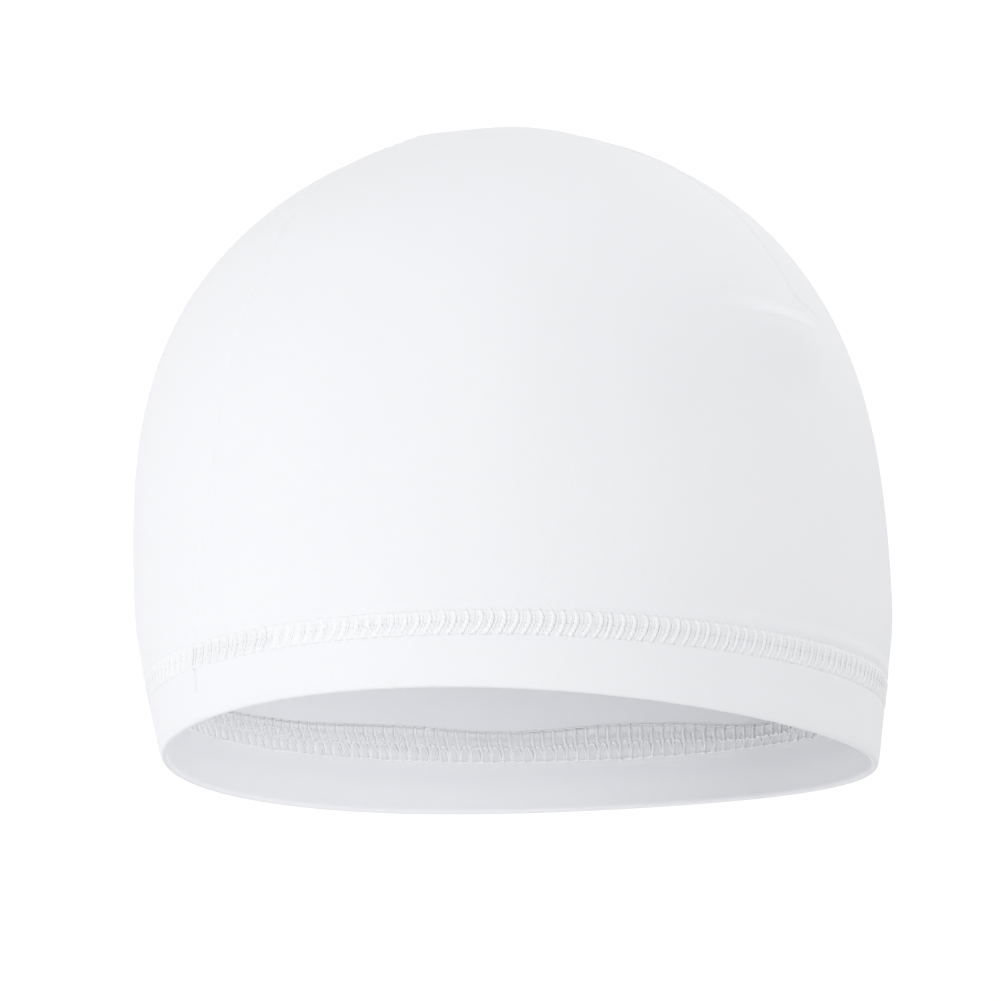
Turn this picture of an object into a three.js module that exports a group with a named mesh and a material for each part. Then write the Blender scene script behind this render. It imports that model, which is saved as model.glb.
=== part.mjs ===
// Helmet liner: a thin skull cap of white stretch jersey, in the shape that it takes on a head.
//
// The cap is cut from one piece of cloth. A seam closes it down the centre back and two darts draw in the
// front: the three of them part the crown into three petals. The hem is turned up inside the cap.
//
// Lengths are millimetres, +Z is up, and the wearer looks along -Y with the left ear towards +X.
// The origin is the top of the hollow, where the cap bears on the head.
// An azimuth runs round the cap from the centre back over the right ear to the forehead, in degrees.
// A share runs down the cloth, from 0 at the top of the crown to 1 at the rim.

import * as THREE from 'three';

// The cap on a head of 560 mm round

const HEIGHT = 156;
const CLOTH_RUN = 205;
const DEPTH_AT_WIDEST = 117.5;
const HALF_WIDTH = 80.5;
const HALF_LENGTH_BACK = 99.5;
const HALF_LENGTH_FRONT = 96;
const FULLER_BACK = 0.03;

// How round each side is: a high shoulder is square, a low tip pointed, and the rim draws in by the taper

const PROFILES = {
  back: { shoulder: 2.8, tip: 1.78, taper: 0.065 },
  front: { shoulder: 2.55, tip: 1.83, taper: 0.065 },
  side: { shoulder: 4.0, tip: 1.63, taper: 0.08 },
};

// The rim is cut higher at the nape, and sits a little askew, as the photo shows it

const RIM_LIFT = { nape: 1.6, nape_and_forehead: 0.65, askew: 1.65 };

// Cloth

const CLOTH = 1.0;
const HEM_SLIT = 0.3;
const HEM_HEIGHT = 23.5;
const SEAT_GAP = 0.3;

// Seams: azimuth at the lower end, how far the seam swings off it, and the shares where its allowance lies

const PETAL = 116;
const SEAMS = {
  back_seam: { azimuth: 0, swing: 13, start: 0.07, end: 0.87, isDart: false },
  right_dart: { azimuth: PETAL, swing: -16, start: 0.07, end: 0.51, isDart: true },
  left_dart: { azimuth: -PETAL, swing: 16, start: 0.07, end: 0.51, isDart: true },
};
const DART_TIP = 0.5;
const DART_FADE = 0.02;
const SEAM_GROOVE = { depth: 0.7, half_width: 2.6 };
const ALLOWANCE = { width: 5.5, thickness: 1.5 };

// Where a dart ends, the spare cloth stands up in a small tuck that runs from the tip towards the back

const TUCK = { height: 1.3, length: 28, width: 6, slant: 5 };

// Mesh fineness

const SHARE_AT_WIDEST = 0.8;
const CROWN_ROWS = 20;
const TUCK_ROWS = 9;
const TUCK_REACH = 0.05;
const WALL_ROWS = 5;
const EVEN_COLUMNS = 50;
const GROOVE_COLUMNS = [-3, -1.2, 1.2, 3];
const FOLD_STEPS = 6;

const radians = THREE.MathUtils.degToRad;

// Shape of the cap

function depthAt(share) {
  if (share <= SHARE_AT_WIDEST) {
    return DEPTH_AT_WIDEST * (1 - Math.cos((Math.PI / 2) * (share / SHARE_AT_WIDEST)));
  }
  return DEPTH_AT_WIDEST + (HEIGHT - DEPTH_AT_WIDEST) * belowWidest(share);
}

function belowWidest(share) {
  return Math.max(0, (share - SHARE_AT_WIDEST) / (1 - SHARE_AT_WIDEST));
}

function shareAbove(rimDistance) {
  return 1 - (rimDistance / (HEIGHT - DEPTH_AT_WIDEST)) * (1 - SHARE_AT_WIDEST);
}

// The part of its full half-width or half-length that a side has reached at this share

function reach(profile, share) {
  const rise = Math.max(0, 1 - depthAt(share) / DEPTH_AT_WIDEST);
  const below = belowWidest(share);
  return (1 - rise ** profile.shoulder) ** (1 / profile.tip) - profile.taper * below ** 2;
}

function rimLift(azimuth) {
  const angle = radians(azimuth);
  return (
    RIM_LIFT.nape * Math.cos(angle) +
    RIM_LIFT.nape_and_forehead * Math.cos(2 * angle) +
    RIM_LIFT.askew * Math.sin(2 * angle)
  );
}

// Columns of the knit follow the seams: a column is named by its azimuth at the rim and swings as they do

function seamSwing(seam, share) {
  return seam.swing * (seam.isDart ? Math.max(0, 1 - share / DART_TIP) : Math.sin(Math.PI * share));
}

function turnsBetween(a, b) {
  return THREE.MathUtils.euclideanModulo(a - b + 180, 360) - 180;
}

function azimuthAt(column, share) {
  let swing = 0;
  for (const seam of Object.values(SEAMS)) {
    const away = Math.abs(turnsBetween(column, seam.azimuth)) / PETAL;
    swing += seamSwing(seam, share) * THREE.MathUtils.smoothstep(1 - away, 0, 1);
  }
  return column + swing;
}

function outline(column, share) {
  const azimuth = azimuthAt(column, share);
  const back = Math.cos(radians(azimuth));
  const right = Math.sin(radians(azimuth));
  const halfWidth = HALF_WIDTH * reach(PROFILES.side, share) * (1 + FULLER_BACK * back);
  const halfLength =
    back > 0
      ? HALF_LENGTH_BACK * reach(PROFILES.back, share)
      : HALF_LENGTH_FRONT * reach(PROFILES.front, share);
  const lift = rimLift(azimuth) * belowWidest(share) ** 2;
  return new THREE.Vector3(-halfWidth * right, halfLength * back, CLOTH - depthAt(share) + lift);
}

function ringRadius(column, share) {
  const point = outline(column, share);
  return Math.hypot(point.x, point.y);
}

function outward(column, share) {
  const step = 0.01;
  const down = outline(column, share + step).sub(outline(column, share - step));
  const round = outline(column + 1, share).sub(outline(column - 1, share));
  return down.cross(round).normalize();
}

// Relief: the seams sink in, and each dart ends in its tuck

function bump(distance, halfWidth) {
  return Math.exp(-((distance / halfWidth) ** 2));
}

function grooveAt(column, share) {
  let sunk = 0;
  for (const seam of Object.values(SEAMS)) {
    const across = radians(turnsBetween(column, seam.azimuth)) * ringRadius(column, share);
    const fade = seam.isDart ? 1 - THREE.MathUtils.smoothstep(share, DART_TIP, DART_TIP + DART_FADE) : 1;
    sunk += SEAM_GROOVE.depth * bump(across, SEAM_GROOVE.half_width) * fade;
  }
  return sunk;
}

function tuckAt(column, share) {
  let raised = 0;
  for (const seam of Object.values(SEAMS).filter((each) => each.isDart)) {
    const toBack = -Math.sign(seam.azimuth) * turnsBetween(column, seam.azimuth);
    const across = radians(toBack) * ringRadius(column, share);
    const down = (share - DART_TIP) * CLOTH_RUN;
    const slant = radians(TUCK.slant);
    const along = across * Math.cos(slant) - down * Math.sin(slant);
    const off = across * Math.sin(slant) + down * Math.cos(slant);
    raised += TUCK.height * bump(along - TUCK.length / 3, TUCK.length / 2) * bump(off, TUCK.width / 2);
  }
  return raised;
}

function skin(column, share, inset) {
  const relief = tuckAt(column, share) - grooveAt(column, share);
  return outline(column, share).addScaledVector(outward(column, share), relief - inset);
}

// Meshes

function toGeometry(points, faces) {
  const geometry = new THREE.BufferGeometry();
  const numbers = points.flatMap((point) => point.toArray());
  geometry.setAttribute('position', new THREE.Float32BufferAttribute(numbers, 3));
  geometry.setIndex(faces.flat());
  geometry.computeVertexNormals();
  return geometry;
}

// A closed body swept through rings of equal count: each end of the sweep closes on one point

function sweep(rings, firstEnd, lastEnd) {
  const count = rings[0].length;
  const points = [firstEnd, ...rings.flat(), lastEnd];
  const at = (ring, index) => 1 + ring * count + (index % count);
  const last = points.length - 1;
  const faces = [];
  for (let i = 0; i < count; i += 1) {
    faces.push([0, at(0, i), at(0, i + 1)]);
    faces.push([last, at(rings.length - 1, i + 1), at(rings.length - 1, i)]);
  }
  for (let ring = 0; ring < rings.length - 1; ring += 1) {
    for (let i = 0; i < count; i += 1) {
      faces.push([at(ring, i), at(ring + 1, i), at(ring + 1, i + 1)]);
      faces.push([at(ring, i), at(ring + 1, i + 1), at(ring, i + 1)]);
    }
  }
  return toGeometry(points, faces);
}

function columns() {
  const around = Array.from({ length: EVEN_COLUMNS }, (_, i) => -180 + (360 * i) / EVEN_COLUMNS);
  for (const seam of Object.values(SEAMS)) {
    around.push(...GROOVE_COLUMNS.map((offset) => seam.azimuth + offset));
    around.push(seam.azimuth);
  }
  const sorted = [...new Set(around)].sort((a, b) => a - b);
  return sorted.filter((column, i) => i === 0 || column - sorted[i - 1] > 0.5);
}

// Stations down the outside, round the fold of the rim, up and over the turned-up hem, and up the inside

function steps(from, to, count) {
  return Array.from({ length: count }, (_, i) => from + ((to - from) * (i + 1)) / count);
}

function clothRows() {
  const crown = steps(0, SHARE_AT_WIDEST, CROWN_ROWS);
  const tuck = steps(DART_TIP - TUCK_REACH, DART_TIP + TUCK_REACH, TUCK_ROWS);
  const clearOfTuck = crown.filter((share) => Math.abs(share - DART_TIP) > TUCK_REACH);
  const wall = steps(SHARE_AT_WIDEST, 1, WALL_ROWS);
  return [...clearOfTuck, ...tuck, ...wall].sort((a, b) => a - b);
}

function bodyStations() {
  const foldRadius = CLOTH + HEM_SLIT / 2;
  const hemTop = shareAbove(HEM_HEIGHT);
  const rows = clothRows();
  const outside = rows.map((share) => ({ share, inset: 0 }));
  const fold = steps(0, 180, FOLD_STEPS).map((turn) => ({
    share: shareAbove(-foldRadius * Math.sin(radians(turn))),
    inset: foldRadius * (1 - Math.cos(radians(turn))),
  }));
  const hem = steps(1, hemTop, 3).map((share) => ({ share, inset: 2 * CLOTH + HEM_SLIT }));
  const slit = [hemTop, ...steps(hemTop, 1, 3)].map((share) => ({ share, inset: CLOTH + HEM_SLIT }));
  const inside = [...rows].reverse().map((share) => ({ share, inset: CLOTH }));
  return [...outside, ...fold, ...hem, ...slit, ...inside];
}

function capBody() {
  const around = columns();
  const ringAt = ({ share, inset }) => around.map((column) => skin(column, share, inset));
  const rings = bodyStations().map(ringAt);
  return sweep(rings, new THREE.Vector3(0, 0, CLOTH), new THREE.Vector3(0, 0, 0));
}

// A seam allowance: two trimmed edges of cloth, bound together and pressed flat to one side inside the cap

function seamAllowance(seam) {
  const near = CLOTH + SEAT_GAP;
  const far = near + ALLOWANCE.thickness;
  const section = [
    { across: 0, inset: near },
    { across: ALLOWANCE.width, inset: near },
    { across: ALLOWANCE.width, inset: far },
    { across: 0, inset: far },
  ];
  const between = clothRows().filter((share) => share > seam.start && share < seam.end);
  const rings = [seam.start, ...between, seam.end].map((share) =>
    section.map(({ across, inset }) => {
      const turn = THREE.MathUtils.radToDeg(across / ringRadius(seam.azimuth, share));
      return skin(seam.azimuth + turn, share, inset);
    }),
  );
  return sweep(rings, middle(rings[0]), middle(rings[rings.length - 1]));
}

function middle(ring) {
  return ring.reduce((sum, point) => sum.add(point), new THREE.Vector3()).divideScalar(ring.length);
}

// Materials

function jersey() {
  return new THREE.MeshStandardMaterial({ color: 0xf1f2f4, roughness: 0.85, metalness: 0 });
}

function boundEdge() {
  return new THREE.MeshStandardMaterial({ color: 0xe9eaed, roughness: 0.8, metalness: 0 });
}

function piece(name, geometry, material) {
  const mesh = new THREE.Mesh(geometry, material);
  mesh.name = name;
  return mesh;
}

const helmetLiner = new THREE.Group();
helmetLiner.add(piece('cap_body', capBody(), jersey()));
for (const [name, seam] of Object.entries(SEAMS)) {
  helmetLiner.add(piece(`${name}_allowance`, seamAllowance(seam), boundEdge()));
}

export default helmetLiner;
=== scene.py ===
import math

import bpy
import numpy as np
from mathutils import Matrix


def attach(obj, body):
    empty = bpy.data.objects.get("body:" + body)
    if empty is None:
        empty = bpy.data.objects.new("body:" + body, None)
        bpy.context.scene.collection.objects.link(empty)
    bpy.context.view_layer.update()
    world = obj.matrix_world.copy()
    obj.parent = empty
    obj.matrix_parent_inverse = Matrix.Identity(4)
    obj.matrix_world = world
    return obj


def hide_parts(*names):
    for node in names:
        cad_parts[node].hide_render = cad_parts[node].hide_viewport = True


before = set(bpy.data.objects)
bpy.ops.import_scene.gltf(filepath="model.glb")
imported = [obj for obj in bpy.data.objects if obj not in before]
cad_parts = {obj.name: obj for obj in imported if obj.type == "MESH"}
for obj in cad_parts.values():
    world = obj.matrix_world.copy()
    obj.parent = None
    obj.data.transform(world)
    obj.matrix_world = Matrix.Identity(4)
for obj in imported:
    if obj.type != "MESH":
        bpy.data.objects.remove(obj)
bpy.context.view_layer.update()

# The cap's cloth.
# One piece of fine white stretch jersey, drawn 1 mm thick, as it lies on a head of 560 mm round. A seam
# closes it down the centre back, two darts draw in the front, and its rim is turned up inside as a hem.

# Lengths are millimetres until a mesh is made. The wearer looks along -Y, with the left ear towards +X.
# An azimuth runs round the cap in degrees, from the centre back over the right ear to the forehead.
# A column is a line down the cloth, named by its azimuth at the rim: it swings with the seams higher up.
# A share runs down the cloth, from 0 at the top of the crown to 1 at the rim.
# A pair named up or down is a start and a run, over which a form rises or falls.

MM = 0.001

# The crown curves down to its widest ring, and a nearly straight wall goes on to the rim
HEIGHT = 156.0
CLOTH_RUN = 205.0
DEPTH_AT_WIDEST = 117.5
SHARE_AT_WIDEST = 0.8
RIM_DROP = HEIGHT - DEPTH_AT_WIDEST
HALF_WIDTH = 80.5
HALF_LENGTH_BACK = 99.5
HALF_LENGTH_FRONT = 96.0
FULLER_BACK = 0.03
PROFILES = {
    "back": {"shoulder": 2.8, "tip": 1.78, "taper": 0.065},
    "front": {"shoulder": 2.55, "tip": 1.83, "taper": 0.065},
    "side": {"shoulder": 4.0, "tip": 1.63, "taper": 0.08},
}
RIM_LIFT = {"nape": 1.6, "nape_and_forehead": 0.65, "askew": 1.65}

# A narrow slit divides the cloth from its turned-up layer, which the stitching presses thinner
CLOTH = 1.0
HEM_SLIT = 0.1
TURNED_CLOTH = 0.65
HEM_INSET = CLOTH + HEM_SLIT + TURNED_CLOTH
HEM_HEIGHT = 20.6

# Azimuths and swings are in degrees, and the bound edges inside run from the start's share to the end's
PETAL = 116.0
SEAMS = {
    "back_seam": {"azimuth": 0.0, "swing": 13.0, "start": 0.07, "end": 0.87, "dart": False},
    "right_dart": {"azimuth": PETAL, "swing": -16.0, "start": 0.07, "end": 0.51, "dart": True},
    "left_dart": {"azimuth": -PETAL, "swing": 16.0, "start": 0.07, "end": 0.51, "dart": True},
}
DART_TIP = 0.5

# Heights above the rim of the three needle rows that hold the hem
NEEDLE_ROWS = {"low": 12.2, "middle": 15.1, "high": 18.0}


def smooth(value):
    """Rises from 0 to 1 as the value does, level at both ends: three squares less two cubes."""
    value = np.clip(value, 0.0, 1.0)
    return value * value * (3.0 - 2.0 * value)


def rising(value, start, run):
    """The same rise, as the value goes a run past its start. A run below 0 leads down from the start."""
    return smooth((value - start) / run)


def hump(distance, half_width):
    """A bell: 1 at no distance, falling as e to the minus square of the distance in half widths."""
    return np.exp(-((distance / half_width) ** 2))


def turns_between(column, azimuth):
    """Degrees from an azimuth to a column, the short way round."""
    return (column - azimuth + 180.0) % 360.0 - 180.0


def below_widest(share):
    """0 down to the widest ring, then rising evenly to 1 at the rim."""
    return np.maximum(0.0, (share - SHARE_AT_WIDEST) / (1.0 - SHARE_AT_WIDEST))


def share_above(height):
    """The share at a height in mm above the rim, on the straight wall."""
    return 1.0 - height / RIM_DROP * (1.0 - SHARE_AT_WIDEST)


def height_of(share):
    """The height in mm above the rim of a share on the straight wall."""
    return (1.0 - share) / (1.0 - SHARE_AT_WIDEST) * RIM_DROP


def depth_at(share):
    """The depth falls as a quarter cosine down to the widest ring, and evenly below it."""
    crown = 1.0 - np.cos(math.pi / 2 * np.minimum(share / SHARE_AT_WIDEST, 1.0))
    return DEPTH_AT_WIDEST * crown + RIM_DROP * below_widest(share)


def reach(profile, share):
    """How much of its full half length a side has reached: (1 - rise^shoulder)^(1/tip), with rise the
    height left above the widest ring, less the taper times the square of the way below it."""
    rise = np.maximum(0.0, 1.0 - depth_at(share) / DEPTH_AT_WIDEST)
    spread = (1.0 - rise ** profile["shoulder"]) ** (1.0 / profile["tip"])
    return spread - profile["taper"] * below_widest(share) ** 2


def azimuth_at(column, share):
    """A column's azimuth plus the swing of each seam, which fades over the petals beside that seam. A dart
    swings back to nothing at its tip, and the back seam swings out and back as a half sine."""
    azimuth = column + 0.0 * share
    for seam in SEAMS.values():
        near = smooth(1.0 - np.abs(turns_between(column, seam["azimuth"])) / PETAL)
        way = np.maximum(0.0, 1.0 - share / DART_TIP) if seam["dart"] else np.sin(math.pi * share)
        azimuth = azimuth + seam["swing"] * way * near
    return azimuth


def outline(column, share):
    """The cap's outer form: each ring is an ellipse in its azimuth, whose half axes follow reach, at the
    depth of its share. The rim rises and dips with the first two harmonics of the azimuth."""
    azimuth = np.radians(azimuth_at(column, share))
    back, right = np.cos(azimuth), np.sin(azimuth)
    half_width = HALF_WIDTH * reach(PROFILES["side"], share) * (1.0 + FULLER_BACK * back)
    half_length = np.where(
        back > 0.0,
        HALF_LENGTH_BACK * reach(PROFILES["back"], share),
        HALF_LENGTH_FRONT * reach(PROFILES["front"], share),
    )
    lift = (
        RIM_LIFT["nape"] * back
        + RIM_LIFT["nape_and_forehead"] * np.cos(2.0 * azimuth)
        + RIM_LIFT["askew"] * np.sin(2.0 * azimuth)
    )
    height = CLOTH - depth_at(share) + lift * below_widest(share) ** 2
    return np.stack([-half_width * right, half_length * back, height], axis=-1)


def ring_radius(column, share):
    """The distance of the outline from the cap's upright axis."""
    return np.hypot(*np.moveaxis(outline(column, share)[..., :2], -1, 0))


STEP = {"share": 0.004, "degrees": 0.4}
LEAST_SHARE = 0.001


def outward(column, share):
    """The direction out of the cloth: the cross product of the steps down and round the outline."""
    high = np.maximum(share - STEP["share"], LEAST_SHARE)
    down = outline(column, share + STEP["share"]) - outline(column, high)
    round_cap = outline(column + STEP["degrees"], share) - outline(column - STEP["degrees"], share)
    out = np.cross(down, round_cap)
    return out / np.linalg.norm(out, axis=-1, keepdims=True)


DART = {
    "crest": 0.36,
    "crest_up": (-0.9, 1.0),
    "crest_down": (0.15, 1.6),
    "bulk": 0.12,
    "bulk_up": (0.0, 1.0),
    "bulk_down": (7.0, -4.0),
    "hollow": 0.5,
    "hollow_past": 2.0,
    "hollow_half_width": 14.0,
    "hollow_down": (0.44, -0.12),
    "groove": 0.24,
    "groove_up": (DART_TIP - 0.003, 0.008),
    "groove_half_width": 0.5,
    "hook_degrees": 7.0,
    "hook_up": (0.5, 0.02),
    "end_down": (0.518, 0.012),
}


def dart_relief(across, share):
    """Over a dart the cloth rises to a narrow crest and falls again past it, onto the bound edges that lie
    towards the rising azimuth. The last stretch before its tip is a narrow groove."""
    crest = DART["crest"] * rising(across, *DART["crest_up"]) * (1.0 - rising(across, *DART["crest_down"]))
    bulk = DART["bulk"] * rising(across, *DART["bulk_up"]) * rising(across, *DART["bulk_down"])
    hollow = DART["hollow"] * hump(across - DART["hollow_past"], DART["hollow_half_width"])
    hollow = hollow * rising(share, *DART["hollow_down"])
    to_tip = rising(share, *DART["groove_up"])
    groove = DART["groove"] * to_tip * hump(across, DART["groove_half_width"])
    return bulk - hollow + crest * (1.0 - to_tip) - groove


BACK_SEAM = {
    "swell": 0.25,
    "swell_half_width": 2.2,
    "groove": 0.4,
    "groove_up": (0.0, 0.05),
    "groove_half_width": 0.6,
    "pucker": 0.16,
    "pucker_pitch": 3.7,
    "pucker_past": 1.0,
    "pucker_half_width": 2.4,
    "stretched": 0.55,
    "stretched_up": (0.4, 0.1),
    "mark": 0.6,
    "mark_up": (0.938, 0.004),
    "mark_down": (0.97, -0.006),
    "mark_half_width": 0.45,
}


def back_seam_relief(across, share):
    """At the back seam the cloth dips into a narrow groove between two low swellings, with small puckers.
    All are lower where the cloth is stretched over the widest part of the head."""
    swell = BACK_SEAM["swell"] * hump(across, BACK_SEAM["swell_half_width"])
    groove = BACK_SEAM["groove"] * rising(share, *BACK_SEAM["groove_up"])
    groove = groove * hump(across, BACK_SEAM["groove_half_width"])
    pucker = BACK_SEAM["pucker"] * np.sin(share * CLOTH_RUN * 2.0 * math.pi / BACK_SEAM["pucker_pitch"])
    pucker = pucker * hump(across - BACK_SEAM["pucker_past"], BACK_SEAM["pucker_half_width"])
    held = 1.0 - BACK_SEAM["stretched"] * rising(share, *BACK_SEAM["stretched_up"])
    return held * (swell + pucker - groove)


def back_seam_mark(across, share):
    """Depth of the short line that the seam's end makes under the hem stitching."""
    length = rising(share, *BACK_SEAM["mark_up"]) * rising(share, *BACK_SEAM["mark_down"])
    return BACK_SEAM["mark"] * length * hump(across, BACK_SEAM["mark_half_width"])


CREASE = {
    "height": 1.15,
    "up": (0.06, 0.1),
    "across": 3.5,
    "spread_before": 8.0,
    "spread_past": 5.0,
    "hollow": 1.15,
    "hollow_up": (0.1, 0.12),
    "hollow_across": 8.0,
    "hollow_half_width": 13.0,
    "down": (0.3, 0.14),
}


def crease_relief(across, share):
    """High on the crown the cloth folds softly beside the back seam, where its two petals meet at an
    angle: the crest falls off more steeply on the side away from the seam, into a wide hollow."""
    past = across - CREASE["across"]
    spread = np.where(past < 0.0, CREASE["spread_before"], CREASE["spread_past"])
    crest = CREASE["height"] * rising(share, *CREASE["up"]) * np.exp((1.0 - np.hypot(past, 1.0)) / spread)
    hollow = hump(across - CREASE["hollow_across"], CREASE["hollow_half_width"])
    hollow = hollow * CREASE["hollow"] * rising(share, *CREASE["hollow_up"])
    return (1.0 - rising(share, *CREASE["down"])) * (crest - hollow)


SEAMS_UP = (0.03, 0.15)


def seam_relief(column, share):
    """Height of the cloth over its seams: the sum of their reliefs, which start below the top of the
    crown. The last of a dart hooks away from the back."""
    raised = np.zeros(np.broadcast(column, share).shape)
    crown = rising(share, *SEAMS_UP)
    for seam in SEAMS.values():
        away = turns_between(column, seam["azimuth"])
        if seam["dart"]:
            hook = DART["hook_degrees"] * rising(share, *DART["hook_up"])
            across = np.radians(away - np.sign(seam["azimuth"]) * hook) * ring_radius(column, share)
            raised += crown * (1.0 - rising(share, *DART["end_down"])) * dart_relief(across, share)
        else:
            across = np.radians(away) * ring_radius(column, share)
            raised += crown * (back_seam_relief(across, share) + crease_relief(across, share))
            raised -= back_seam_mark(across, share)
    return raised


TUCK = {
    "height": 2.25,
    "middle": 10.0,
    "half_width": 30.0 / 2.2,
    "tip_up": (-8.0, 7.0),
    "drop": 8.9,
    "above": 4.4,
    "steepening": 1.3,
    "below": 20.0,
    "crease": 0.22,
    "crease_below": 0.9,
    "crease_half_width": 0.7,
}


def tuck_relief(column, share):
    """Height of the small tuck in which a dart ends. It runs from the tip towards the back, as a
    bell. Down the cloth it rises to a sharp crest, as a power of the way, with a fine crease under it,
    and eases off again."""
    raised = np.zeros(np.broadcast(column, share).shape)
    for seam in SEAMS.values():
        if not seam["dart"]:
            continue
        to_back = -np.sign(seam["azimuth"]) * turns_between(column, seam["azimuth"])
        across = np.radians(to_back) * ring_radius(column, share)
        down = (share - DART_TIP) * CLOTH_RUN - TUCK["drop"]
        length = hump(across - TUCK["middle"], TUCK["half_width"]) * rising(across, *TUCK["tip_up"])
        ramp = np.clip(1.0 + down / TUCK["above"], 0.0, 1.0) ** TUCK["steepening"]
        rise = np.where(down < 0.0, ramp, 1.0 - smooth(down / TUCK["below"]))
        crease = TUCK["crease"] * hump(down - TUCK["crease_below"], TUCK["crease_half_width"])
        raised += length * (TUCK["height"] * rise - crease)
    return raised


# Shallow hollows of the worn cloth: column, share, half widths in degrees and share, depth in mm
HOLLOWS = (
    (148.0, 0.91, 20.0, 0.06, 0.75),
    (328.0, 0.91, 20.0, 0.05, 0.45),
    (129.0, 0.945, 5.0, 0.012, 0.35),
    (88.0, 0.66, 7.0, 0.05, 0.3),
    (104.0, 0.72, 6.0, 0.08, 0.3),
    (60.0, 0.47, 8.0, 0.05, 0.22),
    (30.0, 0.62, 9.0, 0.06, 0.22),
    (200.0, 0.6, 10.0, 0.07, 0.3),
    (262.0, 0.55, 9.0, 0.06, 0.3),
)

FOLDS = {"height": 0.22, "count": 13.0, "slant": 3.0}
FOLDS_PLACE = {"azimuth": 84.0, "half_width": 26.0, "share": 0.72, "half_height": 0.16}
WANDER = {"height": 0.16, "count": 5.0, "slant": 7.0, "down": 9.0, "phase": 1.0, "up": (0.0, 0.2)}
DRAWN_IN = {"depth": 0.55, "up": (0.13, 0.06), "down": (1.0, -0.04)}


def drape_relief(column, share):
    """Slight unevenness of worn jersey, which is drawn in a little below the crown: soft upright folds
    over the right ear and a slow wander of the whole, which are sines of the azimuth and the share, and
    shallow hollows."""
    azimuth = azimuth_at(column, share)
    folds = np.sin(np.radians(azimuth) * FOLDS["count"] + FOLDS["slant"] * share)
    folds = folds * hump(turns_between(azimuth, FOLDS_PLACE["azimuth"]), FOLDS_PLACE["half_width"])
    folds = folds * hump(share - FOLDS_PLACE["share"], FOLDS_PLACE["half_height"])
    wander = np.sin(np.radians(azimuth) * WANDER["count"] + WANDER["slant"] * share)
    wander = wander * np.sin(WANDER["down"] * share + WANDER["phase"])
    drawn_in = DRAWN_IN["depth"] * rising(share, *DRAWN_IN["up"]) * rising(share, *DRAWN_IN["down"])
    raised = FOLDS["height"] * folds + WANDER["height"] * wander * rising(share, *WANDER["up"]) - drawn_in
    for place, hollow_share, width, reach_down, depth in HOLLOWS:
        bell = hump(turns_between(column, place), width) * hump(share - hollow_share, reach_down)
        raised = raised - depth * bell
    return raised


# Where the hem lies flat, at the centre back outside and over the left ear inside, its stitching is slack
SLACK = {
    "outside": {"by": 0.85, "azimuth": 5.0, "half_width": 56.0},
    "inside": {"by": 0.7, "azimuth": 290.0, "half_width": 34.0},
}


def pull(column, face):
    """How hard the stitching of a face is drawn in: 1, less a bell where it is slack."""
    slack = SLACK[face]
    return 1.0 - slack["by"] * hump(turns_between(column, slack["azimuth"]), slack["half_width"])


HEM_PROUD = {"height": 0.3, "down": (HEM_HEIGHT + 1.5, -3.0)}
ROWS_DRAWN = {
    "high": {"depth": 0.34, "above": 0.15},
    "middle": {"depth": 0.22, "above": 0.0},
    "low": {"depth": 0.22, "above": 0.0},
}
ROW_HALF_WIDTH = 0.5
BAND_DRAWN = {"depth": 0.2, "half_width": 4.2}


def hem_relief(column, share):
    """The double cloth of the hem stands a little proud of the wall. The stitching draws it in as a band,
    and each needle row more, most of all the top one, over which the single cloth starts."""
    height = height_of(share)
    rows = 0.0
    for row, drawn in ROWS_DRAWN.items():
        rows = rows + drawn["depth"] * hump(height - NEEDLE_ROWS[row] - drawn["above"], ROW_HALF_WIDTH)
    rows = rows + BAND_DRAWN["depth"] * hump(height - NEEDLE_ROWS["middle"], BAND_DRAWN["half_width"])
    return HEM_PROUD["height"] * rising(height, *HEM_PROUD["down"]) - rows * pull(column, "outside")


# The raw edge wanders a little, as it does under the machine: azimuth, rise in mm and half width
EDGE_WAVES = (
    {"azimuth": 226.0, "rise": 1.5, "half_width": 11.0},
    {"azimuth": 263.0, "rise": 1.2, "half_width": 12.0},
    {"azimuth": 199.0, "rise": -2.2, "half_width": 10.0},
    {"azimuth": 120.0, "rise": -0.8, "half_width": 14.0},
    {"azimuth": 318.0, "rise": 1.0, "half_width": 14.0},
)

# The turned-up layer thins over a run towards its raw edge, where EDGE_GAP is left of the slit
EDGE_EASE = {"run": 8.0, "depth": 0.38}
EDGE_GAP = 0.06


def edge_wander(column):
    """How far the raw edge rises over its mean height: the sum of its waves."""
    rise = 0.0 * column
    for wave in EDGE_WAVES:
        rise = rise + wave["rise"] * hump(turns_between(column, wave["azimuth"]), wave["half_width"])
    return rise


def hem_face(below_edge):
    """Inset of the hem's inner face, at a distance below its raw edge: it thins towards that edge, where
    the thread draws it flat, and above the edge it is the wall."""
    eased = HEM_INSET - EDGE_EASE["depth"] * smooth(1.0 - below_edge / EDGE_EASE["run"])
    return np.where(below_edge > 0.0, eased, CLOTH + EDGE_GAP)


def relief(column, share):
    """All that stands off the outline, along the outward direction, in mm."""
    return (
        seam_relief(column, share)
        + tuck_relief(column, share)
        + drape_relief(column, share)
        + hem_relief(column, share)
    )


def skin(column, share, inset):
    """A point of the cloth: the outline moved out by the relief and in by the inset."""
    off = relief(column, share) - inset
    return outline(column, share) + outward(column, share) * off[..., None]


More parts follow.
